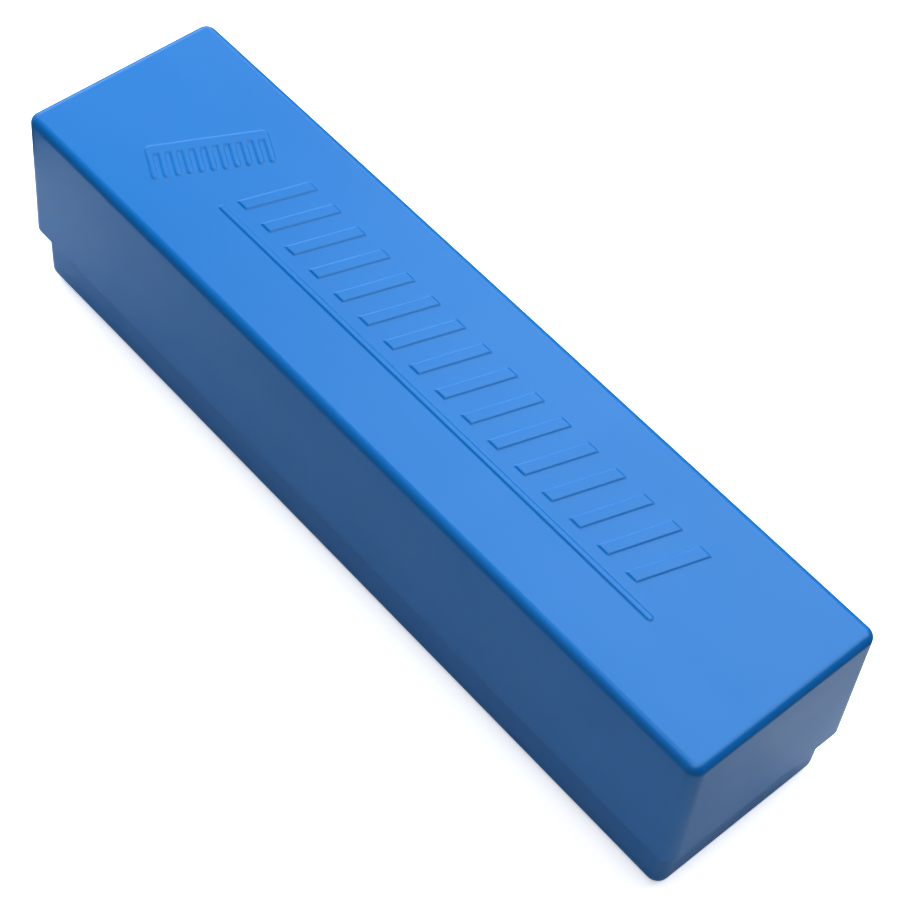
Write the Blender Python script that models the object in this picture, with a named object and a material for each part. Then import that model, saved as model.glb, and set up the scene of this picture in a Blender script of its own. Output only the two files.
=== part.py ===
"""A barber's fade brush lying in its two-piece moulded case, closed. Metres, +Z up.

The origin is the middle of the case's underside. +X runs along the case, towards the end where the
brush's grip lies, and +Y across it. The brush lies on its back with its bristles up, on two cradle
ribs of the base. The lid lifts off along +Z, and then the brush does.
"""

import math

import bmesh
import bpy
from mathutils import Matrix, Vector

MM = 0.001

# Case, outside
CASE_LENGTH = 200.0 * MM
CASE_WIDTH = 48.0 * MM
CASE_HEIGHT = 49.2 * MM
CORNER_STEPS = 4
LEAST_CORNER = 0.5 * MM

# Lid: a deep cup that is wider at its rim by its draft
LID_RIM_Z = 15.1 * MM
LID_WALL = 1.4 * MM
LID_TOP = 1.6 * MM
LID_DRAFT = 0.2 * MM
LID_CORNER = 2.6 * MM
LID_EDGE_RADIUS = 1.8 * MM
LID_EDGE_STEPS = 4
LID_RIM_BREAK = 0.2 * MM

# Base: an open tray with a band below the lid's rim and a slimmer neck inside the lid
BASE_INSET = 1.7 * MM
BASE_WALL = 1.5 * MM
BASE_FLOOR = 1.8 * MM
BASE_CORNER = 3.0 * MM
BASE_FOOT_RADIUS = 3.0 * MM
BASE_FOOT_STEPS = 3
BASE_TAPER = 0.2 * MM
BASE_SHOULDER_Z = 16.3 * MM
BASE_NECK_INSET = 0.25 * MM
BASE_RIM_BREAK = 0.3 * MM
SLIDING_GAP = 0.3 * MM

# Raised marks on the lid
RELIEF = 0.2 * MM
RELIEF_ROOT = 0.5 * MM
STROKE = 1.2 * MM
STRIPES = 16
STRIPE_PITCH = 7.7 * MM
STRIPE_WIDTH = 2.8 * MM
STRIPE_HEIGHT = 15.0 * MM
STRIPE_LEAN = 4.6 * MM
STRIPES_AT = Vector((7.0, 3.6, 0.0)) * MM
BAR_FROM = Vector((-55.0, -7.4, 0.0)) * MM
BAR_TO = Vector((71.0, -7.4, 0.0)) * MM
COMB_AT = Vector((-70.0, 0.6, 0.0)) * MM
COMB_TURN = math.radians(64)
COMB_LENGTH = 26.0 * MM
COMB_SPINE = 2.6 * MM
COMB_TOOTH = 6.6 * MM
COMB_TEETH = 11

# Brush handle, lying along X with its back down
HANDLE_END = 92.0 * MM
FACE_Z = 19.8 * MM
HANDLE_STATIONS = 34
SECTION_POINTS = 20
SECTION_POWER = 2.5
# x, half width, lowest point of the back, widest level, top before the face is planed
HEAD_END = (-92.0, 16.6, 4.6, 13.6, 23.6)
HEAD_MIDDLE = (-48.0, 18.0, 4.3, 13.6, 23.6)
HEAD_SHOULDER = (-12.0, 16.8, 4.7, 13.4, 23.2)
NECK = (17.0, 8.2, 6.2, 12.2, 18.2)
GRIP_SWELL = (58.0, 11.6, 4.3, 11.6, 18.9)
GRIP_END = (92.0, 9.8, 6.0, 12.0, 17.8)
HEAD_END_RADIUS = 15.0 * MM
GRIP_END_RADIUS = 9.5 * MM
END_EDGE_RADIUS = 6.5 * MM
# Share of the half length that the sections reach, and how much closer they stand at the ends
LOFT_REACH = 0.998
END_CROWDING = 0.5

# Cradle ribs moulded in the base
CRADLES_X = (-64.0 * MM, 58.0 * MM)
CRADLE_THICKNESS = 1.8 * MM
CRADLE_GAP = 0.4 * MM
CRADLE_TOP_Z = 9.0 * MM
CRADLE_STEPS = 10
CRADLE_ROOT = 0.6 * MM

# Tufts, in staggered rows across the head
TUFT_ROWS = (9, 10, 11, 10, 9)
TUFT_CENTRE_X = -48.0 * MM
TUFT_PITCH_X = 7.4 * MM
TUFT_PITCH_Y = 6.1 * MM
TUFT_SIDES = 8
TUFT_ROOT_RADIUS = 2.2 * MM
TUFT_TIP_RADIUS = 3.35 * MM
TUFT_TIP_Z = 41.8 * MM
TUFT_TIP_ROUND = 0.9 * MM
TRIM_DROP_Y = 1.5 * MM
TRIM_DROP_X = 1.1 * MM
HOLE_RADIUS = 2.52 * MM
HOLE_DEPTH = 7.0 * MM
HOLE_GAP = 0.3 * MM

BLUE = (0.030, 0.235, 0.700)
WOOD = (0.330, 0.150, 0.060)
BRISTLE = (0.045, 0.028, 0.018)


def clear_scene():
    for thing in list(bpy.data.objects):
        bpy.data.objects.remove(thing)


def principled(name, colour, roughness):
    material = bpy.data.materials.new(name)
    material.use_nodes = True
    shader = material.node_tree.nodes["Principled BSDF"]
    shader.inputs["Base Color"].default_value = (*colour, 1.0)
    shader.inputs["Roughness"].default_value = roughness
    shader.inputs["Metallic"].default_value = 0.0
    return material


def add_solid(name, shape, material=None, parent=None, smooth_below=None):
    """The bmesh shape as an object of this name; it frees the bmesh."""
    bmesh.ops.recalc_face_normals(shape, faces=shape.faces)
    mesh = bpy.data.meshes.new(name)
    shape.to_mesh(mesh)
    shape.free()
    if smooth_below is not None:
        mesh.shade_smooth()
        mesh.set_sharp_from_angle(angle=math.radians(smooth_below))
    solid = bpy.data.objects.new(name, mesh)
    bpy.context.scene.collection.objects.link(solid)
    if material:
        mesh.materials.append(material)
    solid.parent = parent
    return solid


def add_helper(name, shape):
    """A cutter or a shape that a Boolean joins: it isn't part of the object."""
    helper = add_solid(name, shape)
    helper.hide_render = True
    helper.display_type = "WIRE"
    return helper


def add_lift_empty(name, parent=None):
    """The carrier of what lifts off along +Z, at the origin."""
    carrier = bpy.data.objects.new(name, None)
    carrier.empty_display_type = "SINGLE_ARROW"
    carrier.empty_display_size = 0.05
    bpy.context.scene.collection.objects.link(carrier)
    carrier.parent = parent
    return carrier


def apply_boolean(solid, helper, operation):
    modifier = solid.modifiers.new(helper.name, "BOOLEAN")
    modifier.operation = operation
    modifier.solver = "EXACT"
    modifier.object = helper


def add_ring_walls(shape, low, high):
    for index in range(len(low)):
        after = (index + 1) % len(low)
        shape.faces.new((low[index], low[after], high[after], high[index]))


def loft(rings):
    """A closed bmesh through rings of equal length, with its first and last ring capped."""
    shape = bmesh.new()
    loops = [[shape.verts.new(point) for point in ring] for ring in rings]
    for low, high in zip(loops, loops[1:]):
        add_ring_walls(shape, low, high)
    shape.faces.new(list(reversed(loops[0])))
    shape.faces.new(loops[-1])
    return shape


def rounded_rectangle(half_x, half_y, radius, z):
    points = []
    for quarter, (side_x, side_y) in enumerate(((1, 1), (-1, 1), (-1, -1), (1, -1))):
        for step in range(CORNER_STEPS + 1):
            angle = (quarter + step / CORNER_STEPS) * math.pi / 2
            x = side_x * (half_x - radius) + radius * math.cos(angle)
            y = side_y * (half_y - radius) + radius * math.sin(angle)
            points.append(Vector((x, y, z)))
    return points


def wall_rings(profile, inset, corner):
    """Rounded rectangles for a profile of (distance inside the case's outline less inset, z)."""
    rings = []
    for depth, z in profile:
        radius = max(corner - depth, LEAST_CORNER)
        half_x = CASE_LENGTH / 2 - inset - depth
        half_y = CASE_WIDTH / 2 - inset - depth
        rings.append(rounded_rectangle(half_x, half_y, radius, z))
    return rings


def quarter_round(depth, z, radius, steps, rising):
    """(depth, z) round an outer edge: from the wall up to a top face, or from an underside to the wall."""
    points = []
    for step in range(steps + 1):
        angle = step / steps * math.pi / 2
        along, up = radius * math.sin(angle), radius * math.cos(angle)
        if rising:
            points.append((depth + radius - up, z - radius + along))
        else:
            points.append((depth + radius - along, z + radius - up))
    return points


def lid_shell():
    ceiling = CASE_HEIGHT - LID_TOP
    inside = [
        (LID_WALL + LID_RIM_BREAK, ceiling),
        (LID_WALL, ceiling - LID_RIM_BREAK),
        (LID_WALL - LID_DRAFT, LID_RIM_Z + LID_RIM_BREAK),
        (LID_WALL - LID_DRAFT - LID_RIM_BREAK, LID_RIM_Z),
    ]
    rim = [
        (LID_RIM_BREAK - LID_DRAFT, LID_RIM_Z),
        (-LID_DRAFT, LID_RIM_Z + LID_RIM_BREAK),
    ]
    edge = quarter_round(0.0, CASE_HEIGHT, LID_EDGE_RADIUS, LID_EDGE_STEPS, rising=True)
    return loft(wall_rings(inside + rim + edge, 0.0, LID_CORNER))


def base_shell():
    rim_z = CASE_HEIGHT - LID_TOP - SLIDING_GAP
    foot = quarter_round(BASE_TAPER, 0.0, BASE_FOOT_RADIUS, BASE_FOOT_STEPS, rising=False)
    outside = [
        (0.0, LID_RIM_Z),
        (0.0, BASE_SHOULDER_Z),
        (BASE_NECK_INSET, BASE_SHOULDER_Z + BASE_NECK_INSET),
        (BASE_NECK_INSET, rim_z - BASE_RIM_BREAK),
        (BASE_NECK_INSET + BASE_RIM_BREAK, rim_z),
    ]
    inside_at_foot = BASE_WALL + BASE_TAPER
    inside = [
        (BASE_NECK_INSET + BASE_WALL - BASE_RIM_BREAK, rim_z),
        (BASE_NECK_INSET + BASE_WALL, rim_z - BASE_RIM_BREAK),
        (inside_at_foot, BASE_FLOOR + BASE_FOOT_RADIUS / 2),
        (inside_at_foot + BASE_FOOT_RADIUS / 2, BASE_FLOOR),
    ]
    inset = BASE_INSET - LID_DRAFT
    return loft(wall_rings(foot + outside + inside, inset, BASE_CORNER))


def add_prism(shape, outline, low, high):
    """A closed prism over a flat outline, added to shape."""
    bottom = [shape.verts.new((x, y, low)) for x, y in outline]
    top = [shape.verts.new((x, y, high)) for x, y in outline]
    add_ring_walls(shape, bottom, top)
    shape.faces.new(list(reversed(bottom)))
    shape.faces.new(top)


def leaning_corners(centre, width, height, lean):
    """The corners of a parallelogram whose top edge lies further along X than its bottom edge."""
    corners = []
    for side, end in ((-1, -1), (1, -1), (1, 1), (-1, 1)):
        x = centre.x + side * width / 2 + end * lean / 2
        corners.append((x, centre.y + end * height / 2))
    return corners


def comb_outline():
    """A comb along X with its teeth towards -Y, turned and placed."""
    left = -COMB_LENGTH / 2
    tooth = COMB_LENGTH / (2 * COMB_TEETH - 1)
    points = [(-left, COMB_SPINE), (left, COMB_SPINE)]
    for index in range(COMB_TEETH):
        start = left + 2 * index * tooth
        points += [(start, -COMB_TOOTH), (start + tooth, -COMB_TOOTH)]
        if index < COMB_TEETH - 1:
            points += [(start + tooth, 0.0), (start + 2 * tooth, 0.0)]
    place = Matrix.Translation(COMB_AT) @ Matrix.Rotation(COMB_TURN, 4, "Z")
    turned = [place @ Vector((x, y, 0.0)) for x, y in points]
    return [(point.x, point.y) for point in turned]


def relief_marks():
    """The raised marks: a row of leaning stripes, a bar below them and a comb."""
    shape = bmesh.new()
    low, high = CASE_HEIGHT - RELIEF_ROOT, CASE_HEIGHT + RELIEF
    for index in range(STRIPES):
        offset = (index - (STRIPES - 1) / 2) * STRIPE_PITCH
        centre = STRIPES_AT + Vector((offset, 0.0, 0.0))
        add_prism(shape, leaning_corners(centre, STRIPE_WIDTH, STRIPE_HEIGHT, STRIPE_LEAN), low, high)
    half = STROKE / 2
    bar = [
        (BAR_FROM.x, BAR_FROM.y - half),
        (BAR_TO.x, BAR_TO.y - half),
        (BAR_TO.x, BAR_TO.y + half),
        (BAR_FROM.x, BAR_FROM.y + half),
    ]
    add_prism(shape, bar, low, high)
    add_prism(shape, comb_outline(), low, high)
    return shape


def ease(low, high, share):
    """From low to high, level at both."""
    return low + (high - low) * share * share * (3 - 2 * share)


def handle_station(x):
    """(half width, back, widest level, top) of the handle at x, before its ends are rounded."""
    stations = (HEAD_END, HEAD_MIDDLE, HEAD_SHOULDER, NECK, GRIP_SWELL, GRIP_END)
    for start, end in zip(stations, stations[1:]):
        if x <= end[0] * MM:
            break
    share = min(max((x / MM - start[0]) / (end[0] - start[0]), 0.0), 1.0)
    return [ease(low, high, share) * MM for low, high in zip(start[1:], end[1:])]


def end_share(x, radius_head, radius_grip):
    """1 along the handle, falling to 0 round each end like a quarter circle."""
    from_head, from_grip = HANDLE_END + x, HANDLE_END - x
    share = 1.0
    for distance, radius in ((from_head, radius_head), (from_grip, radius_grip)):
        if distance < radius:
            share *= math.sqrt(max(1.0 - (1.0 - distance / radius) ** 2, 0.0))
    return share


def handle_point(x, angle, gap=0.0):
    """A point of the handle's section at x, moved outwards by gap. Angle 0 faces +Y and pi/2 faces up."""
    half_width, back, level, top = handle_station(x)
    half_width *= end_share(x, HEAD_END_RADIUS, GRIP_END_RADIUS)
    share = end_share(x, END_EDGE_RADIUS, END_EDGE_RADIUS)
    height = (top - level if math.sin(angle) > 0 else level - back) * share
    power = 2 / SECTION_POWER
    y = math.copysign(abs(math.cos(angle)) ** power, math.cos(angle))
    z = math.copysign(abs(math.sin(angle)) ** power, math.sin(angle))
    return Vector((x, (half_width + gap) * y, level + (height + gap) * z))


def handle_section(x):
    return [handle_point(x, 2 * math.pi * index / SECTION_POINTS) for index in range(SECTION_POINTS)]


def handle_body():
    """The handle as milled: lofted along X, closer at its ends, with the head's face planed flat."""
    rings = []
    for index in range(HANDLE_STATIONS + 1):
        angle = math.pi * index / HANDLE_STATIONS
        even = 2 * index / HANDLE_STATIONS - 1
        crowded = -math.cos(angle)
        x = HANDLE_END * LOFT_REACH * (even + END_CROWDING * (crowded - even))
        rings.append(handle_section(x))
    shape = loft(rings)
    everything = shape.verts[:] + shape.edges[:] + shape.faces[:]
    plane = Vector((0.0, 0.0, FACE_Z))
    up = Vector((0.0, 0.0, 1.0))
    cut = bmesh.ops.bisect_plane(shape, geom=everything, plane_co=plane, plane_no=up, clear_outer=True)
    rim = [item for item in cut["geom_cut"] if isinstance(item, bmesh.types.BMEdge)]
    bmesh.ops.contextual_create(shape, geom=rim)
    return shape


def tuft_places():
    """(row, column, x, y) of each tuft, all counted from 1."""
    places = []
    for row, count in enumerate(TUFT_ROWS):
        y = (row - (len(TUFT_ROWS) - 1) / 2) * TUFT_PITCH_Y
        for column in range(count):
            x = TUFT_CENTRE_X + (column - (count - 1) / 2) * TUFT_PITCH_X
            places.append((row + 1, column + 1, x, y))
    return places


def polygon_ring(x, y, radius, z):
    points = []
    for index in range(TUFT_SIDES):
        angle = 2 * math.pi * (index + 0.5) / TUFT_SIDES
        points.append(Vector((x + radius * math.cos(angle), y + radius * math.sin(angle), z)))
    return points


def tuft_holes():
    shape = bmesh.new()
    for _, _, x, y in tuft_places():
        outline = [(point.x, point.y) for point in polygon_ring(x, y, HOLE_RADIUS, 0.0)]
        add_prism(shape, outline, FACE_Z - HOLE_DEPTH, FACE_Z + HOLE_DEPTH)
    return shape


def tuft_tip_z(x, y):
    """The bristles are trimmed to a low crown."""
    across = y / (TUFT_PITCH_Y * (len(TUFT_ROWS) - 1) / 2)
    along = (x - TUFT_CENTRE_X) / (TUFT_PITCH_X * (max(TUFT_ROWS) - 1) / 2)
    return TUFT_TIP_Z - TRIM_DROP_Y * across**2 - TRIM_DROP_X * along**4


def tuft_body(x, y):
    """A tuft: straight in its hole, spreading above the face, with a rounded tip."""
    tip = tuft_tip_z(x, y)
    rings = [
        polygon_ring(x, y, TUFT_ROOT_RADIUS, FACE_Z - HOLE_DEPTH + HOLE_GAP),
        polygon_ring(x, y, TUFT_ROOT_RADIUS, FACE_Z),
        polygon_ring(x, y, TUFT_TIP_RADIUS, tip - TUFT_TIP_ROUND),
        polygon_ring(x, y, TUFT_TIP_RADIUS - TUFT_TIP_ROUND, tip),
    ]
    return loft(rings)


def cradle_rib(x):
    """A rib across the base whose hollow follows the handle's back up to the rib's top."""
    wall = CASE_WIDTH / 2 - BASE_INSET - BASE_WALL + CRADLE_ROOT
    low = BASE_FLOOR - CRADLE_ROOT
    hollow, above = [], None
    for step in range(CRADLE_STEPS + 1):
        point = handle_point(x, math.pi * (1 + step / CRADLE_STEPS), CRADLE_GAP)
        if point.z < CRADLE_TOP_Z:
            hollow.append((point.y, point.z))
        elif not hollow:
            above = point
    first_y, first_z = hollow[0]
    horn = above.y + (first_y - above.y) * (above.z - CRADLE_TOP_Z) / (above.z - first_z)
    outline = [(-wall, CRADLE_TOP_Z), (-wall, low), (wall, low), (wall, CRADLE_TOP_Z)]
    outline += [(-horn, CRADLE_TOP_Z), *reversed(hollow), (horn, CRADLE_TOP_Z)]
    faces = []
    for side in (-1, 1):
        across = x + side * CRADLE_THICKNESS / 2
        faces.append([Vector((across, y, z)) for y, z in outline])
    return loft(faces)


def build_base(blue):
    base = add_solid("case_base", base_shell(), blue, smooth_below=40)
    for number, x in enumerate(CRADLES_X, 1):
        apply_boolean(base, add_helper(f"cradle_rib_{number}", cradle_rib(x)), "UNION")


def build_lid(blue, carrier):
    lid = add_solid("case_lid", lid_shell(), blue, carrier, smooth_below=40)
    apply_boolean(lid, add_helper("lid_relief", relief_marks()), "UNION")


def build_brush(wood, bristle, carrier):
    handle = add_solid("brush_handle", handle_body(), wood, carrier, smooth_below=50)
    apply_boolean(handle, add_helper("tuft_holes", tuft_holes()), "DIFFERENCE")
    for row, column, x, y in tuft_places():
        name = f"tuft_r{row}_c{column:02d}"
        add_solid(name, tuft_body(x, y), bristle, carrier, smooth_below=50)


def main():
    clear_scene()
    blue = principled("case_blue", BLUE, 0.42)
    brush_lift = add_lift_empty("brush_lift")
    lid_lift = add_lift_empty("lid_lift", brush_lift)
    build_base(blue)
    build_lid(blue, lid_lift)
    build_brush(principled("handle_wood", WOOD, 0.32), principled("bristle", BRISTLE, 0.55), brush_lift)


main()
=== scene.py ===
"""The looks of the fade brush and its case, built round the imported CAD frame. Metres, +Z up."""

import math
import random

import bmesh
import bpy
from mathutils import Matrix, Quaternion, Vector


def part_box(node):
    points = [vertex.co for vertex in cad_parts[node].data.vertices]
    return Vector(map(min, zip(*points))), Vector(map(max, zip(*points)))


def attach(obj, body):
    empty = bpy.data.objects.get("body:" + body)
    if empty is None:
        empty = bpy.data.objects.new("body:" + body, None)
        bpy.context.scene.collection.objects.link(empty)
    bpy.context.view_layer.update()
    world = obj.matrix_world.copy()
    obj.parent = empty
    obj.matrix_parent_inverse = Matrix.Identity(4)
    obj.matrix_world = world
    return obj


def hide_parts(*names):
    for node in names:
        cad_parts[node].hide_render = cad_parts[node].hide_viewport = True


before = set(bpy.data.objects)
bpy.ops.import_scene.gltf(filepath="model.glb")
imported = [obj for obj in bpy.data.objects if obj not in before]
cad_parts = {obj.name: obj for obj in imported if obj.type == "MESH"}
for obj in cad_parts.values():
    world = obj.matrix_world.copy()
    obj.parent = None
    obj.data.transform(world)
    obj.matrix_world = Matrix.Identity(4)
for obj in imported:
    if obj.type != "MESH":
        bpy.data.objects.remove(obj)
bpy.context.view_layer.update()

MM = 0.001

# Where the CAD solids are
LID_LOW, LID_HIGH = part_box("case_lid")
BASE_LOW, BASE_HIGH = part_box("case_base")
HANDLE_LOW, HANDLE_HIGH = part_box("brush_handle")
TUFTS = sorted(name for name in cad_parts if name.startswith("tuft_"))

# Case walls. HOLD is the distance from a rounded edge to the loop that keeps the flat beside it flat.
CORNER_STEPS = 8
EDGE_STEPS = 8
LEAST_CORNER = 0.45 * MM
HOLD = 0.25 * MM
SMOOTH_PLASTIC = 35
LID_WALL = 1.4 * MM
LID_TOP = 1.6 * MM
LID_DRAFT = 0.2 * MM
LID_CORNER = 2.6 * MM
LID_EDGE_RADIUS = 1.8 * MM
LID_RIM_RADIUS = 0.3 * MM
INNER_RADIUS = 0.8 * MM
BASE_WALL = 1.5 * MM
BASE_FLOOR = 1.8 * MM
BASE_CORNER = 3.0 * MM
BASE_FOOT_RADIUS = 3.0 * MM
BASE_TAPER = 0.2 * MM
BASE_SHOULDER_Z = 16.3 * MM
BASE_NECK_INSET = 0.25 * MM
BASE_RIM_RADIUS = 0.35 * MM

# Raised marks on the lid. The ROWS are counts of mesh rows.
RELIEF = 0.2 * MM
RELIEF_SHOULDER = 0.46 * MM
RELIEF_STEP = 0.15 * MM
STROKE = 1.2 * MM
STRIPES = 16
STRIPE_PITCH = 7.7 * MM
STRIPE_WIDTH = 2.8 * MM
STRIPE_HEIGHT = 15.0 * MM
STRIPE_LEAN = 4.6 * MM
STRIPES_AT = Vector((7.0, 3.6)) * MM
STRIPE_MIDDLE_ROWS = 7
BAR_Y = -7.4 * MM
BAR_ENDS = (-55.0 * MM, 71.0 * MM)
BAR_MIDDLE_ROWS = 16
COMB_AT = Vector((-70.0, 0.6)) * MM
COMB_TURN = math.radians(64)
COMB_LENGTH = 26.0 * MM
COMB_SPINE = 2.6 * MM
COMB_TOOTH = 6.6 * MM
COMB_TEETH = 11
COMB_TIP_ROWS = 18
COMB_MIDDLE_ROWS = 5
COMB_ROOT_ROWS = 28

# Brush handle: x, half width, lowest point of the back, widest level, top before the face is planed
STATIONS = (
    (-92.0, 16.6, 4.6, 13.6, 23.6),
    (-48.0, 18.0, 4.3, 13.6, 23.6),
    (-12.0, 16.8, 4.7, 13.4, 23.2),
    (17.0, 8.2, 6.2, 12.2, 18.2),
    (58.0, 11.6, 4.3, 11.6, 18.9),
    (92.0, 9.8, 6.0, 12.0, 17.8),
)
HANDLE_END = 92.0 * MM
HANDLE_STEPS = 150
SECTION_POINTS = 72
SECTION_POWER = 2.5
HEAD_END_RADIUS = 15.0 * MM
GRIP_END_RADIUS = 9.5 * MM
END_EDGE_RADIUS = 6.5 * MM
FACE_Z = HANDLE_HIGH.z
FACE_EDGE = 0.5 * MM
SMOOTH_WOOD = 40

# Cradle ribs
CRADLES_X = (-64.0 * MM, 58.0 * MM)
CRADLE_THICKNESS = 1.8 * MM
CRADLE_GAP = 0.35 * MM
CRADLE_TOP_Z = 9.0 * MM
CRADLE_STEPS = 36
CRADLE_ROOT = 0.6 * MM
CRADLE_EDGE = 0.3 * MM
CRADLE_HORN = 0.25 * MM
CRADLE_SHARP = math.radians(60)

# Tufts and their anchors
HOLE_RADIUS = 2.32 * MM
HOLE_DEPTH = 7.0 * MM
HOLE_SIDES = 28
FILAMENTS = 170
FILAMENT_SIDES = 3
FILAMENT_ROOT = 0.115 * MM
FILAMENT_TIP = 0.085 * MM
FILAMENT_LEVELS = (0.0, 0.22, 0.5, 0.78, 1.0)
TUFT_ROOT_RADIUS = 2.1 * MM
TUFT_TIP_RADIUS = 3.3 * MM
TIP_SPREAD = 0.35 * MM
TIP_UNEVEN = 0.14 * MM
SPLAY_POWER = 1.3
STRAY_POWER = 1.8
BRISTLE_LENGTH = 22 * MM
GOLDEN_ANGLE = math.pi * (3 - math.sqrt(5))
ANCHOR_LENGTH = 4.9 * MM
ANCHOR_HEIGHT = 1.3 * MM
ANCHOR_THICKNESS = 0.45 * MM
ANCHOR_LIFT = 0.5 * MM
SMOOTH_HAIR = 80
SMOOTH_WIRE = 40

# Camera and studio
CAMERA_AIM = Vector((20.063, -10.526, 48.0)) * MM
CAMERA_AZIMUTH = math.radians(42.477)
CAMERA_ELEVATION = math.radians(53.139)
CAMERA_ROLL = math.radians(7.798)
CAMERA_DISTANCE = 464.845 * MM
CAMERA_LENS = 96.773
CAMERA_SENSOR = 36.0
CAMERA_CLIP = (0.01, 50.0)
FLOOR_SIZE = 8.0
# FLOOR_GLOW and FAR_GLOW are a painted glow in the floor the camera sees: weaker near the case, stronger far
# off, between the GLOW_FADE distances
FLOOR_GLOW = 0.62
FAR_GLOW = 1.0
GLOW_FADE = (0.3, 1.2)
SHEET_MARGIN = 35.0 * MM
BOUNCE_DEPTH = 0.3 * MM
PAPER_TONES = ((0.3, (0.865, 0.865, 0.862)), (0.7, (0.885, 0.885, 0.882)))
# Where each light stands, its size and radiance, and False if gloss doesn't show it
LIGHTS = {
    "softbox_zenith": ((0.15, -0.10, 1.30), (0.8, 0.8), 3.68),
    "softbox_high_back": ((-0.05, 0.75, 1.00), (1.4, 0.8), 3.35),
    "softbox_left_back": ((-0.95, 0.50, 0.50), (0.8, 0.6), 2.70),
    "softbox_left": ((-1.10, 0.15, 0.50), (1.2, 0.8), 4.05, False),
    "softbox_front": ((0.00, -1.00, 0.80), (1.2, 0.8), 0.46),
}
BACKDROP_BRIGHTNESS = 1.0
VIEW_GAMMA = 0.8


# ---------------------------------------------------------------- materials


class Shader:
    """A procedural material: a Principled BSDF and the nodes that drive it."""

    def __init__(self, name, **constants):
        self.material = bpy.data.materials.new(name)
        self.material.use_nodes = True
        self.tree = self.material.node_tree
        self.principled = self.tree.nodes["Principled BSDF"]
        for socket, value in constants.items():
            self.principled.inputs[socket.replace("_", " ")].default_value = value
        self.coordinates = self.tree.nodes.new("ShaderNodeTexCoord").outputs["Object"]

    def node(self, kind, **settings):
        made = self.tree.nodes.new("ShaderNode" + kind)
        for key, value in settings.items():
            setattr(made, key, value)
        return made

    def link(self, output, target):
        self.tree.links.new(output, target)

    def stretched(self, scale, turn=(0.0, 0.0, 0.0)):
        mapping = self.node("Mapping")
        mapping.inputs["Scale"].default_value = scale
        mapping.inputs["Rotation"].default_value = turn
        self.link(self.coordinates, mapping.inputs["Vector"])
        return mapping.outputs["Vector"]

    def noise(self, scale, detail=2.0, roughness=0.5, distortion=0.0, vector=None):
        noise = self.node("TexNoise")
        noise.inputs["Scale"].default_value = scale
        noise.inputs["Detail"].default_value = detail
        noise.inputs["Roughness"].default_value = roughness
        noise.inputs["Distortion"].default_value = distortion
        self.link(vector or self.coordinates, noise.inputs["Vector"])
        return noise.outputs["Fac"]

    def remap(self, value, low, high, out_low, out_high):
        remap = self.node("MapRange")
        numbers = {"From Min": low, "From Max": high, "To Min": out_low, "To Max": out_high}
        for socket, number in numbers.items():
            remap.inputs[socket].default_value = number
        self.link(value, remap.inputs["Value"])
        return remap.outputs["Result"]

    def ramp(self, value, *stops):
        ramp = self.node("ValToRGB")
        elements = ramp.color_ramp.elements
        while len(elements) < len(stops):
            elements.new(0.5)
        for element, (position, colour) in zip(elements, stops):
            element.position = position
            element.color = (*colour, 1.0)
        self.link(value, ramp.inputs["Fac"])
        return ramp.outputs["Color"]

    def bump(self, height, distance, strength=1.0, after=None):
        bump = self.node("Bump")
        bump.inputs["Distance"].default_value = distance
        bump.inputs["Strength"].default_value = strength
        self.link(height, bump.inputs["Height"])
        if after:
            self.link(after, bump.inputs["Normal"])
        return bump.outputs["Normal"]

    def multiply(self, first, second, factor=1.0):
        mix = self.node("Mix", data_type="RGBA", blend_type="MULTIPLY")
        mix.inputs["Factor"].default_value = factor
        self.link(first, mix.inputs["A"])
        self.link(second, mix.inputs["B"])
        return mix.outputs["Result"]

    def drive(self, **outputs):
        """The finished material, with these outputs on the sockets of the same names."""
        for socket, output in outputs.items():
            self.link(output, self.principled.inputs[socket.replace("_", " ")])
        return self.material


def case_plastic():
    """Blue polypropylene with a fine satin mould texture and a faint flow variation in its colour."""
    shader = Shader("case_plastic", IOR=1.49, Specular_IOR_Level=0.5)
    flow = shader.noise(22.0, detail=3.0, distortion=0.6, vector=shader.stretched((0.5, 1.0, 1.0)))
    colour = shader.ramp(flow, (0.30, (0.0044, 0.196, 0.545)), (0.70, (0.0056, 0.207, 0.571)))
    grain = shader.noise(3200.0, detail=2.0, roughness=0.6)
    waviness = shader.noise(70.0, detail=1.0)
    roughness = shader.remap(shader.noise(45.0, detail=4.0), 0.3, 0.7, 0.30, 0.35)
    normal = shader.bump(waviness, 0.00006, 0.5)
    normal = shader.bump(grain, 0.000012, 0.6, after=normal)
    return shader.drive(Base_Color=colour, Roughness=roughness, Normal=normal)


def handle_wood():
    """Walnut-toned hardwood, its grain along the handle, under a satin lacquer."""
    shader = Shader("handle_wood", Coat_Weight=0.45, Coat_Roughness=0.22, Coat_IOR=1.5)
    along = shader.stretched((9.0, 130.0, 95.0), turn=(0.0, math.radians(2.0), math.radians(1.5)))
    figure = shader.noise(1.0, detail=5.0, roughness=0.55, distortion=0.9, vector=along)
    pores = shader.noise(1.0, detail=2.0, roughness=0.7, vector=shader.stretched((140.0, 2600.0, 2600.0)))
    colour = shader.ramp(
        figure,
        (0.28, (0.085, 0.030, 0.011)),
        (0.46, (0.190, 0.075, 0.027)),
        (0.60, (0.290, 0.125, 0.048)),
        (0.78, (0.360, 0.170, 0.070)),
    )
    dark_pores = shader.ramp(pores, (0.30, (0.45, 0.40, 0.36)), (0.46, (1.0, 1.0, 1.0)))
    colour = shader.multiply(colour, dark_pores, factor=0.8)
    roughness = shader.remap(figure, 0.3, 0.8, 0.42, 0.55)
    normal = shader.bump(pores, 0.00004, 0.35)
    return shader.drive(Base_Color=colour, Roughness=roughness, Normal=normal)


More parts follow.
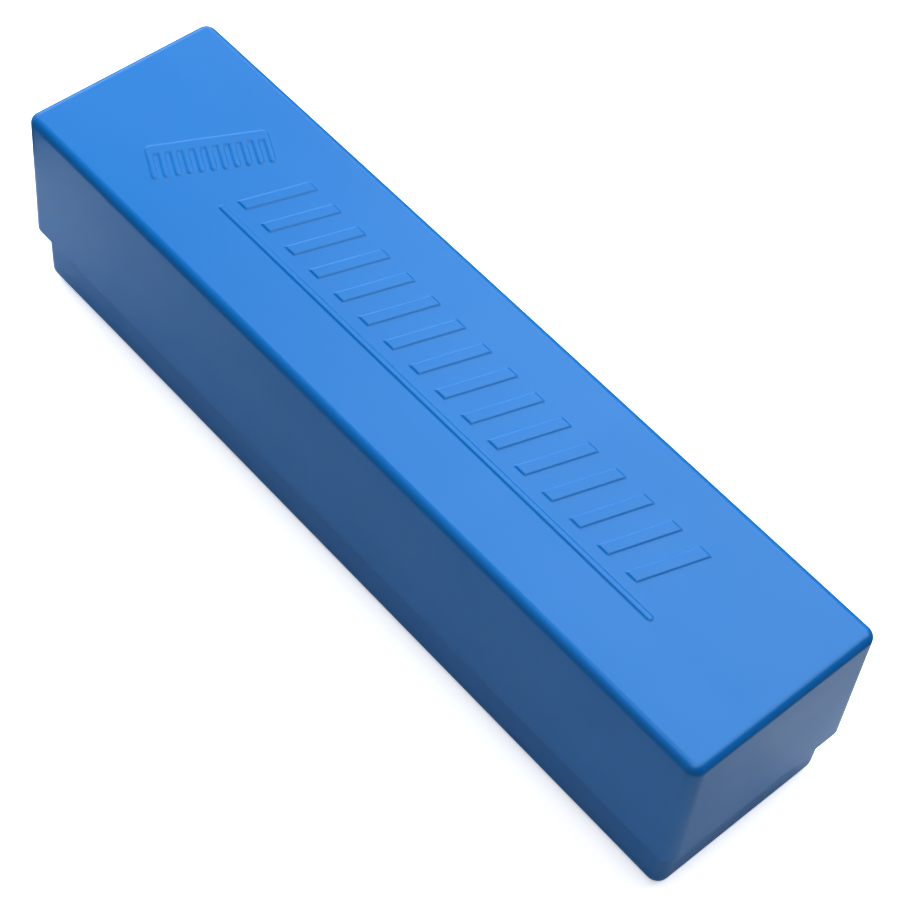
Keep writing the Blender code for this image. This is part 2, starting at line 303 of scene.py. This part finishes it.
def bristle():
    """Dark boar-like bristle: each filament has its own tone and is lighter towards its tip."""
    shader = Shader("bristle", Specular_IOR_Level=0.45)
    each = shader.node("NewGeometry").outputs["Random Per Island"]
    tone = shader.ramp(
        each,
        (0.0, (0.014, 0.008, 0.005)),
        (0.50, (0.050, 0.029, 0.016)),
        (0.84, (0.125, 0.074, 0.040)),
        (1.0, (0.280, 0.180, 0.105)),
    )
    height = shader.node("SeparateXYZ")
    shader.link(shader.coordinates, height.inputs["Vector"])
    tip = shader.remap(height.outputs["Z"], FACE_Z, FACE_Z + BRISTLE_LENGTH, 0.75, 1.35)
    roughness = shader.remap(each, 0.0, 1.0, 0.34, 0.52)
    scales = shader.noise(1.0, vector=shader.stretched((5000.0, 5000.0, 900.0)))
    normal = shader.bump(scales, 0.00002, 0.4)
    return shader.drive(Base_Color=shader.multiply(tone, tip), Roughness=roughness, Normal=normal)


def anchor_wire():
    """Flat drawn brass wire."""
    shader = Shader("anchor_wire", Metallic=1.0)
    drawn = shader.noise(1.0, detail=3.0, vector=shader.stretched((400.0, 6000.0, 6000.0)))
    colour = shader.ramp(drawn, (0.3, (0.56, 0.38, 0.15)), (0.7, (0.74, 0.54, 0.24)))
    roughness = shader.remap(drawn, 0.3, 0.7, 0.26, 0.42)
    return shader.drive(Base_Color=colour, Roughness=roughness, Normal=shader.bump(drawn, 0.00001, 0.5))


def paper_colour(shader):
    return shader.ramp(shader.noise(3.0, detail=3.0), *PAPER_TONES)


def floor_paper():
    """Pale matt studio paper."""
    shader = Shader("floor_paper", Specular_IOR_Level=0.2)
    roughness = shader.remap(shader.noise(60.0), 0.3, 0.7, 0.72, 0.82)
    return shader.drive(Base_Color=paper_colour(shader), Roughness=roughness)


def painted_glow_floor():
    """The same paper with a painted glow of its own, weaker near the case, so that shadows on it stay light
    and it ends in white.
    """
    shader = Shader("painted_glow_floor", Specular_IOR_Level=0.0, Roughness=0.8)
    shader.principled.inputs["Emission Color"].default_value = (1.0, 1.0, 1.0, 1.0)
    distance = shader.node("VectorMath", operation="LENGTH")
    shader.link(shader.coordinates, distance.inputs["Vector"])
    # painted glow: the floor emits light, less near the case than far from it
    glow = shader.remap(distance.outputs["Value"], *GLOW_FADE, FLOOR_GLOW, FAR_GLOW)
    return shader.drive(Base_Color=paper_colour(shader), Emission_Strength=glow)


# ---------------------------------------------------------------- meshes


def add_piece(name, mesh, material, body=None, replaced=(), smooth_below=None):
    """A mesh as a piece that rides on a body and stands for the replaced CAD nodes.

    Edges that bend less than smooth_below degrees are shaded smooth.
    """
    if smooth_below is not None:
        mesh.shade_smooth()
        mesh.set_sharp_from_angle(angle=math.radians(smooth_below))
    mesh.materials.clear()
    mesh.materials.append(material)
    piece = bpy.data.objects.new(name, mesh)
    bpy.context.scene.collection.objects.link(piece)
    if body:
        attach(piece, body)
        if replaced:
            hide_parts(*replaced)
    return piece


def mesh_of(name, shape):
    """The mesh of a finished bmesh, which is freed."""
    bmesh.ops.recalc_face_normals(shape, faces=shape.faces)
    mesh = bpy.data.meshes.new(name)
    shape.to_mesh(mesh)
    shape.free()
    return mesh


def bevel(shape, edges, width, **settings):
    bmesh.ops.bevel(shape, geom=edges, offset=width, affect="EDGES", profile=0.5, **settings)


def boolean(name, mesh, other, operation):
    """A new mesh: mesh joined with other, or cut by it."""
    pair = []
    for part in (mesh, other):
        holder = bpy.data.objects.new("boolean_holder", part)
        bpy.context.scene.collection.objects.link(holder)
        pair.append(holder)
    modifier = pair[0].modifiers.new("boolean", "BOOLEAN")
    modifier.operation = operation
    modifier.solver = "EXACT"
    modifier.object = pair[1]
    evaluated = pair[0].evaluated_get(bpy.context.evaluated_depsgraph_get())
    result = bpy.data.meshes.new_from_object(evaluated)
    result.name = name
    for holder in pair:
        bpy.data.objects.remove(holder)
    return result


def add_walls(shape, low, high):
    for index in range(len(low)):
        after = (index + 1) % len(low)
        shape.faces.new((low[index], low[after], high[after], high[index]))


def add_loops(shape, rings):
    """Rings of equal length as joined loops of vertices, left open at both ends."""
    loops = [[shape.verts.new(point) for point in ring] for ring in rings]
    for low, high in zip(loops, loops[1:]):
        add_walls(shape, low, high)
    return loops


def add_solid(shape, rings):
    """Rings of equal length as a closed solid, capped at both ends."""
    loops = add_loops(shape, rings)
    shape.faces.new(loops[0])
    shape.faces.new(loops[-1])


def ring_edges(shape, loop):
    """The edges of a closed loop of vertices, made where there are none yet."""
    edges = []
    for pair in zip(loop[-1:] + loop[:-1], loop):
        edges.append(shape.edges.get(pair) or shape.edges.new(pair))
    return edges


# ---------------------------------------------------------------- case


def rounded_rectangle(half_x, half_y, radius, z):
    """Counter-clockwise, with a holding point just before and after each corner."""
    points = []
    for quarter, (side_x, side_y) in enumerate(((1, 1), (-1, 1), (-1, -1), (1, -1))):
        centre = Vector((side_x * (half_x - radius), side_y * (half_y - radius), z))
        for step in range(-1, CORNER_STEPS + 2):
            share = min(max(step / CORNER_STEPS, 0.0), 1.0)
            angle = (quarter + share) * math.pi / 2
            out = Vector((math.cos(angle), math.sin(angle), 0.0))
            back = Vector((out.y, -out.x, 0.0)) * HOLD * (step < 0)
            on = Vector((-out.y, out.x, 0.0)) * HOLD * (step > CORNER_STEPS)
            points.append(centre + radius * out + back + on)
    return points


def wall_rings(profile, half_x, half_y, corner):
    """Rounded rectangles for a profile of (depth inside the outline, z)."""
    rings = []
    for depth, z in profile:
        radius = max(corner - depth, LEAST_CORNER)
        rings.append(rounded_rectangle(half_x - depth, half_y - depth, radius, z))
    return rings


def arc(centre_depth, centre_z, radius, start, end, steps=EDGE_STEPS):
    """(depth, z) along an arc about a centre. At 0 degrees it points outwards, at 90 upwards."""
    points = []
    for step in range(steps + 1):
        angle = math.radians(start + (end - start) * step / steps)
        points.append((centre_depth - radius * math.cos(angle), centre_z + radius * math.sin(angle)))
    return points


def lid_top_z():
    return LID_HIGH.z - RELIEF


def lid_profile():
    """From the inside of the top down to the rim, and up to where the flat top begins."""
    ceiling, rim, top = lid_top_z() - LID_TOP, LID_LOW.z, lid_top_z()
    inner = LID_WALL + INNER_RADIUS
    lip = LID_WALL - LID_DRAFT
    profile = [(inner + HOLD, ceiling)]
    profile += arc(inner, ceiling - INNER_RADIUS, INNER_RADIUS, 90, 0)
    profile += [(LID_WALL, ceiling - INNER_RADIUS - HOLD), (lip, rim + LID_RIM_RADIUS + HOLD)]
    profile += arc(lip - LID_RIM_RADIUS, rim + LID_RIM_RADIUS, -LID_RIM_RADIUS, 0, 90)
    profile += arc(LID_RIM_RADIUS - LID_DRAFT, rim + LID_RIM_RADIUS, LID_RIM_RADIUS, -90, 0)
    profile += [(-LID_DRAFT, rim + LID_RIM_RADIUS + HOLD), (0.0, top - LID_EDGE_RADIUS - HOLD)]
    profile += arc(LID_EDGE_RADIUS, top - LID_EDGE_RADIUS, LID_EDGE_RADIUS, 0, 90)
    profile += [(LID_EDGE_RADIUS + HOLD, top)]
    return profile


def spaced(low, high, count):
    return [low + (high - low) * index / (count - 1) for index in range(count)]


def bridged(low, high, count):
    """Two runs of values with the gap between them filled, by count values with the ends counted in."""
    return low + spaced(low[-1], high[0], count)[1:-1] + high


def across_stroke(middle, half, spread=1.0):
    """Closely spaced values across a stroke, with its shoulders."""
    reach = (half + RELIEF_SHOULDER) * spread
    count = 2 * math.ceil(reach / RELIEF_STEP) + 1
    return spaced(middle - reach, middle + reach, count)


def to_segment(point, start, end):
    along = end - start
    share = min(max((point - start).dot(along) / along.length_squared, 0.0), 1.0)
    return (point - start - along * share).length


def raised(distance, half):
    """Height of the relief at a distance from the middle of a stroke of this half width."""
    share = min(max((half + RELIEF_SHOULDER / 2 - distance) / RELIEF_SHOULDER, 0.0), 1.0)
    return RELIEF * share * share * (3 - 2 * share)


def add_patch(shape, u_values, v_values, place, height):
    """A grid of the lid's top, raised by height(x, y). Returns the edges round it."""
    top = lid_top_z()
    rows = []
    for v in v_values:
        row = []
        for u in u_values:
            spot = place(u, v)
            row.append(shape.verts.new((spot.x, spot.y, top + height(spot))))
        rows.append(row)
    for low, high in zip(rows, rows[1:]):
        for index in range(len(low) - 1):
            shape.faces.new((low[index], low[index + 1], high[index + 1], high[index]))
    left = [row[0] for row in rows]
    right = [row[-1] for row in rows]
    loop = rows[0] + right[1:] + rows[-1][-2::-1] + left[-2:0:-1]
    return ring_edges(shape, loop)


def add_stripe(shape, centre):
    """One leaning stripe of the row."""
    slope = STRIPE_LEAN / STRIPE_HEIGHT
    spread = math.hypot(1.0, slope)
    half_u, half_v = STRIPE_WIDTH / spread / 2, STRIPE_HEIGHT / 2

    def place(u, v):
        return Vector((centre.x + u + slope * v, centre.y + v))

    def height(spot):
        v = spot.y - centre.y
        u = spot.x - centre.x - slope * v
        return raised(max(abs(u) / spread - half_u, abs(v) - half_v), 0.0)

    u_values = across_stroke(0.0, half_u, spread)
    v_values = bridged(across_stroke(-half_v, 0.0), across_stroke(half_v, 0.0), STRIPE_MIDDLE_ROWS)
    return add_patch(shape, u_values, v_values, place, height)


def add_bar(shape):
    """The plain bar below the row."""
    start, end = Vector((BAR_ENDS[0], BAR_Y)), Vector((BAR_ENDS[1], BAR_Y))

    def height(spot):
        return raised(to_segment(spot, start, end), STROKE / 2)

    left, right = across_stroke(start.x, STROKE / 2), across_stroke(end.x, STROKE / 2)
    u_values = bridged(left, right, BAR_MIDDLE_ROWS)
    v_values = across_stroke(BAR_Y, STROKE / 2)
    return add_patch(shape, u_values, v_values, lambda u, v: Vector((u, v)), height)


def add_comb(shape):
    """A comb with its teeth to one side, turned across the lid."""
    tooth = COMB_LENGTH / (2 * COMB_TEETH - 1)
    half_spine = COMB_SPINE / 2
    spine_ends = [Vector((side * (COMB_LENGTH / 2 - half_spine), half_spine)) for side in (-1, 1)]
    teeth = []
    for index in range(COMB_TEETH):
        x = -COMB_LENGTH / 2 + (2 * index + 0.5) * tooth
        teeth.append((Vector((x, half_spine)), Vector((x, tooth / 2 - COMB_TOOTH))))
    turn = Matrix.Rotation(COMB_TURN, 2)
    unturn = turn.transposed()

    def place(u, v):
        return COMB_AT + turn @ Vector((u, v))

    def height(spot):
        here = unturn @ (spot - COMB_AT)
        nearest = min(teeth, key=lambda ends: abs(ends[0].x - here.x))
        on_spine = raised(to_segment(here, *spine_ends), half_spine)
        return max(on_spine, raised(to_segment(here, *nearest), tooth / 2))

    tips = spaced(-COMB_TOOTH - RELIEF_SHOULDER, -COMB_TOOTH + 2 * tooth, COMB_TIP_ROWS)
    roots = spaced(-tooth, COMB_SPINE + RELIEF_SHOULDER, COMB_ROOT_ROWS)
    v_values = bridged(tips, roots, COMB_MIDDLE_ROWS)
    return add_patch(shape, across_stroke(0.0, COMB_LENGTH / 2), v_values, place, height)


def lid_mesh():
    """The lid's shell, its flat top filled in between the raised patches."""
    shape = bmesh.new()
    half_x, half_y = LID_HIGH.x - LID_DRAFT, LID_HIGH.y - LID_DRAFT
    loops = add_loops(shape, wall_rings(lid_profile(), half_x, half_y, LID_CORNER))
    shape.faces.new(loops[0])
    edges = ring_edges(shape, loops[-1])
    for index in range(STRIPES):
        offset = (index - (STRIPES - 1) / 2) * STRIPE_PITCH
        edges += add_stripe(shape, STRIPES_AT + Vector((offset, 0.0)))
    edges += add_bar(shape)
    edges += add_comb(shape)
    bmesh.ops.triangle_fill(shape, use_beauty=True, edges=edges, normal=(0.0, 0.0, 1.0))
    return mesh_of("case_lid_shell", shape)


def base_profile():
    """From the underside up the outside, over the rim and down to the floor inside."""
    rim = BASE_HIGH.z
    neck, neck_in = BASE_NECK_INSET, BASE_NECK_INSET + BASE_WALL
    foot_in = BASE_WALL + BASE_TAPER
    shoulder = BASE_SHOULDER_Z
    profile = [(BASE_TAPER + BASE_FOOT_RADIUS + HOLD, 0.0)]
    profile += arc(BASE_TAPER + BASE_FOOT_RADIUS, BASE_FOOT_RADIUS, BASE_FOOT_RADIUS, -90, 0)
    profile += [(BASE_TAPER, BASE_FOOT_RADIUS + HOLD), (0.0, LID_LOW.z), (0.0, shoulder)]
    profile += [(neck, shoulder + neck), (neck, rim - BASE_RIM_RADIUS - HOLD)]
    profile += arc(neck + BASE_RIM_RADIUS, rim - BASE_RIM_RADIUS, BASE_RIM_RADIUS, 0, 90)
    profile += arc(neck_in - BASE_RIM_RADIUS, rim - BASE_RIM_RADIUS, BASE_RIM_RADIUS, 90, 180)
    profile += [(neck_in, rim - BASE_RIM_RADIUS - HOLD), (foot_in, BASE_FLOOR + INNER_RADIUS + HOLD)]
    profile += arc(foot_in + INNER_RADIUS, BASE_FLOOR + INNER_RADIUS, INNER_RADIUS, 0, -90)
    profile += [(foot_in + INNER_RADIUS + HOLD, BASE_FLOOR)]
    return profile


def cradle_outline(x):
    """The rib's outline across the base, with a hollow that follows the handle's back."""
    wall = BASE_HIGH.y - BASE_WALL + CRADLE_ROOT - BASE_NECK_INSET
    low = BASE_FLOOR - CRADLE_ROOT
    angles = [math.pi * (1 + step / CRADLE_STEPS) for step in range(CRADLE_STEPS + 1)]
    back = [handle_point(x, angle, CRADLE_GAP) for angle in angles]
    hollow = [(point.y, point.z) for point in back if point.z < CRADLE_TOP_Z]
    horn = hollow[0][0] - CRADLE_HORN
    outline = [(-wall, CRADLE_TOP_Z), (-wall, low), (wall, low), (wall, CRADLE_TOP_Z)]
    return outline + [(-horn, CRADLE_TOP_Z), *reversed(hollow), (horn, CRADLE_TOP_Z)]


def cradle_mesh():
    """Both ribs, with their edges rounded."""
    shape = bmesh.new()
    for x in CRADLES_X:
        rings = []
        for side in (-1, 1):
            across = x + side * CRADLE_THICKNESS / 2
            rings.append([Vector((across, y, z)) for y, z in cradle_outline(x)])
        add_solid(shape, rings)
    bmesh.ops.recalc_face_normals(shape, faces=shape.faces)
    rims = [edge for edge in shape.edges if edge.calc_face_angle(0.0) > CRADLE_SHARP]
    bevel(shape, rims, CRADLE_EDGE, segments=3, clamp_overlap=True)
    return mesh_of("cradle_ribs", shape)


def base_mesh():
    """The base's tray with its ribs."""
    shape = bmesh.new()
    add_solid(shape, wall_rings(base_profile(), BASE_HIGH.x, BASE_HIGH.y, BASE_CORNER))
    return boolean("case_base_tray", mesh_of("base_shell", shape), cradle_mesh(), "UNION")


# ---------------------------------------------------------------- brush


def ease(low, high, share):
    return low + (high - low) * share * share * (3 - 2 * share)


def handle_station(x):
    """(half width, back, widest level, top) of the handle at x, before its ends are rounded."""
    for start, end in zip(STATIONS, STATIONS[1:]):
        if x <= end[0] * MM:
            break
    share = min(max((x / MM - start[0]) / (end[0] - start[0]), 0.0), 1.0)
    return [ease(low, high, share) * MM for low, high in zip(start[1:], end[1:])]


def end_share(x, radius_head, radius_grip):
    """1 along the handle, falling to 0 round each end like a quarter circle."""
    share = 1.0
    for distance, radius in ((HANDLE_END + x, radius_head), (HANDLE_END - x, radius_grip)):
        if distance < radius:
            share *= math.sqrt(max(1.0 - (1.0 - distance / radius) ** 2, 0.0))
    return share


def handle_point(x, angle, gap=0.0):
    """A point of the handle's section at x, moved outwards by gap. Angle 0 faces +Y and pi/2 faces up."""
    half_width, back, level, top = handle_station(x)
    half_width *= end_share(x, HEAD_END_RADIUS, GRIP_END_RADIUS)
    share = end_share(x, END_EDGE_RADIUS, END_EDGE_RADIUS)
    height = (top - level if math.sin(angle) > 0 else level - back) * share
    power = 2 / SECTION_POWER
    y = math.copysign(abs(math.cos(angle)) ** power, math.cos(angle))
    z = math.copysign(abs(math.sin(angle)) ** power, math.sin(angle))
    return Vector((x, (half_width + gap) * y, level + (height + gap) * z))


def planed(z):
    """z held down to the head's flat face, with a small round where the face begins."""
    over = z - (FACE_Z - FACE_EDGE)
    if over <= 0:
        return z
    if over >= 2 * FACE_EDGE:
        return FACE_Z
    return z - over * over / (4 * FACE_EDGE)


def handle_mesh():
    """The handle, its face planed flat and drilled for the tufts."""
    angles = [2 * math.pi * (step + 0.5) / SECTION_POINTS for step in range(SECTION_POINTS)]
    rings = []
    for index in range(1, HANDLE_STEPS):
        x = -HANDLE_END * math.cos(math.pi * index / HANDLE_STEPS)
        ring = [handle_point(x, angle) for angle in angles]
        rings.append([Vector((point.x, point.y, planed(point.z))) for point in ring])
    shape = bmesh.new()
    add_solid(shape, rings)
    return boolean("brush_handle_wood", mesh_of("handle_body", shape), hole_cutters(), "DIFFERENCE")


def tuft_axis(name):
    """(x, y, tip z) of a CAD tuft."""
    low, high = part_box(name)
    return (low.x + high.x) / 2, (low.y + high.y) / 2, high.z


def hole_cutters():
    """A cylinder for each tuft's hole, standing as far above the face as the hole is deep."""
    angles = [2 * math.pi * side / HOLE_SIDES for side in range(HOLE_SIDES)]
    shape = bmesh.new()
    for name in TUFTS:
        x, y, _ = tuft_axis(name)
        outline = [(x + HOLE_RADIUS * math.cos(angle), y + HOLE_RADIUS * math.sin(angle)) for angle in angles]
        levels = (FACE_Z - HOLE_DEPTH, FACE_Z + HOLE_DEPTH)
        add_solid(shape, [[Vector((*spot, z)) for spot in outline] for z in levels])
    return mesh_of("tuft_holes", shape)


def filament_points(x, y, tip_z, index, draw):
    """The middle line of one filament, from the hole's bottom to its tip."""
    out = math.sqrt((index + 0.5) / FILAMENTS)
    angle = index * GOLDEN_ANGLE
    aim = Vector((math.cos(angle), math.sin(angle)))
    stray = Vector((draw.gauss(0, TIP_SPREAD), draw.gauss(0, TIP_SPREAD)))
    bottom = FACE_Z - HOLE_DEPTH + ANCHOR_LIFT
    top = tip_z - abs(draw.gauss(0, TIP_UNEVEN))
    points = []
    for level in FILAMENT_LEVELS:
        free = max((bottom + (top - bottom) * level - FACE_Z) / (top - FACE_Z), 0.0)
        radius = TUFT_ROOT_RADIUS + (TUFT_TIP_RADIUS - TUFT_ROOT_RADIUS) * free**SPLAY_POWER
        spot = Vector((x, y)) + aim * radius * out + stray * free**STRAY_POWER
        points.append(Vector((spot.x, spot.y, bottom + (top - bottom) * level)))
    return points


def tuft_mesh(name, number):
    """A bundle of tapered filaments, splayed above the head's face."""
    x, y, tip_z = tuft_axis(name)
    draw = random.Random(number)
    points, faces = [], []
    for index in range(FILAMENTS):
        first = len(points)
        middle = filament_points(x, y, tip_z, index, draw)
        turn = draw.random() * math.pi
        for level, centre in zip(FILAMENT_LEVELS, middle):
            radius = FILAMENT_ROOT + (FILAMENT_TIP - FILAMENT_ROOT) * level
            for side in range(FILAMENT_SIDES):
                angle = turn + 2 * math.pi * side / FILAMENT_SIDES
                points.append(centre + Vector((radius * math.cos(angle), radius * math.sin(angle), 0.0)))
        for row in range(len(middle) - 1):
            low = first + row * FILAMENT_SIDES
            high = low + FILAMENT_SIDES
            for side in range(FILAMENT_SIDES):
                after = (side + 1) % FILAMENT_SIDES
                faces.append((low + side, low + after, high + after, high + side))
        last = len(points) - FILAMENT_SIDES
        faces.append(tuple(first + side for side in reversed(range(FILAMENT_SIDES))))
        faces.append(tuple(last + side for side in range(FILAMENT_SIDES)))
    mesh = bpy.data.meshes.new(name + "_filaments")
    mesh.from_pydata(points, [], faces)
    return mesh


def anchor_mesh(name):
    """The flat wire across the bottom of a hole, its ends bitten into the wood."""
    x, y, _ = tuft_axis(name)
    shape = bmesh.new()
    place = Matrix.Translation((x, y, FACE_Z - HOLE_DEPTH + ANCHOR_HEIGHT / 2))
    size = Matrix.Diagonal((ANCHOR_THICKNESS, ANCHOR_LENGTH, ANCHOR_HEIGHT, 1.0))
    bmesh.ops.create_cube(shape, size=1.0, matrix=place @ size)
    bevel(shape, shape.edges[:], ANCHOR_THICKNESS / 4, segments=2)
    return mesh_of(name.replace("tuft", "anchor") + "_wire", shape)


# ---------------------------------------------------------------- studio


def add_camera():
    data = bpy.data.cameras.new("camera")
    data.lens = CAMERA_LENS
    data.sensor_width = CAMERA_SENSOR
    data.clip_start, data.clip_end = CAMERA_CLIP
    camera = bpy.data.objects.new("camera", data)
    bpy.context.scene.collection.objects.link(camera)
    flat = math.cos(CAMERA_ELEVATION)
    east, south = math.sin(CAMERA_AZIMUTH) * flat, math.cos(CAMERA_AZIMUTH) * flat
    back = Vector((east, -south, math.sin(CAMERA_ELEVATION)))
    camera.location = CAMERA_AIM + back * CAMERA_DISTANCE
    camera.rotation_mode = "QUATERNION"
    camera.rotation_quaternion = (-back).to_track_quat("-Z", "Y") @ Quaternion((0, 0, 1), CAMERA_ROLL)
    bpy.context.scene.camera = camera


def add_softbox(name, location, size, radiance, glossy=True):
    """A rectangular light aimed at the object, with the same brightness all over."""
    data = bpy.data.lights.new(name, "AREA")
    data.shape = "RECTANGLE"
    data.size, data.size_y = size
    data.energy = radiance * math.pi * size[0] * size[1]
    light = bpy.data.objects.new(name, data)
    bpy.context.scene.collection.objects.link(light)
    light.location = location
    light.rotation_mode = "QUATERNION"
    light.rotation_quaternion = Vector(location).to_track_quat("Z", "Y")
    light.visible_camera = False
    light.visible_glossy = glossy


def flat_sheet(name, outer, inner=None):
    """A rectangle on the floor of half sizes outer, with a rectangular hole of half sizes inner."""
    shape = bmesh.new()
    edges = []
    for half in (outer, inner) if inner else (outer,):
        corners = [(x * half[0], y * half[1]) for x, y in ((1, 1), (-1, 1), (-1, -1), (1, -1))]
        edges += ring_edges(shape, [shape.verts.new((x, y, 0.0)) for x, y in corners])
    bmesh.ops.triangle_fill(shape, use_beauty=True, edges=edges, normal=(0.0, 0.0, 1.0))
    return mesh_of(name, shape)


def add_floor():
    """The floor that the camera sees, and paper just below it that lights the case from below.

    The gloss of the plastic shows only the paper's part near the case.
    """
    near = (BASE_HIGH.x + SHEET_MARGIN, BASE_HIGH.y + SHEET_MARGIN)
    far = (FLOOR_SIZE / 2, FLOOR_SIZE / 2)
    seen = add_piece("floor", flat_sheet("floor", far), painted_glow_floor())
    seen.visible_diffuse = False
    seen.visible_glossy = False
    seen.visible_shadow = False
    paper = floor_paper()
    bounce_near = add_piece("bounce_near", flat_sheet("bounce_near", near), paper)
    bounce_far = add_piece("bounce_far", flat_sheet("bounce_far", far, near), paper)
    bounce_far.visible_glossy = False
    for sheet in (bounce_near, bounce_far):
        sheet.location.z = -BOUNCE_DEPTH
        sheet.visible_camera = False


def add_studio():
    world = bpy.data.worlds.new("studio")
    world.use_nodes = True
    background = world.node_tree.nodes["Background"]
    background.inputs["Color"].default_value = (1.0, 1.0, 1.0, 1.0)
    background.inputs["Strength"].default_value = BACKDROP_BRIGHTNESS
    world.cycles_visibility.diffuse = False
    world.cycles_visibility.glossy = False
    bpy.context.scene.world = world
    for name, settings in LIGHTS.items():
        add_softbox(name, *settings)
    add_floor()
    view = bpy.context.scene.view_settings
    view.view_transform = "Standard"
    view.look = "None"
    view.gamma = VIEW_GAMMA


def add_case():
    plastic = case_plastic()
    add_piece("lid_shell", lid_mesh(), plastic, "lid", ["case_lid"], SMOOTH_PLASTIC)
    add_piece("base_tray", base_mesh(), plastic, "base", ["case_base"], SMOOTH_PLASTIC)


def add_brush():
    wood, hair, wire = handle_wood(), bristle(), anchor_wire()
    add_piece("handle_carved", handle_mesh(), wood, "brush", ["brush_handle"], SMOOTH_WOOD)
    for number, name in enumerate(TUFTS):
        add_piece(name + "_bristle", tuft_mesh(name, number), hair, "brush", [name], SMOOTH_HAIR)
        anchor = name.replace("tuft", "anchor")
        add_piece(anchor, anchor_mesh(name), wire, "brush", (), SMOOTH_WIRE)


add_camera()
add_studio()
add_case()
add_brush()
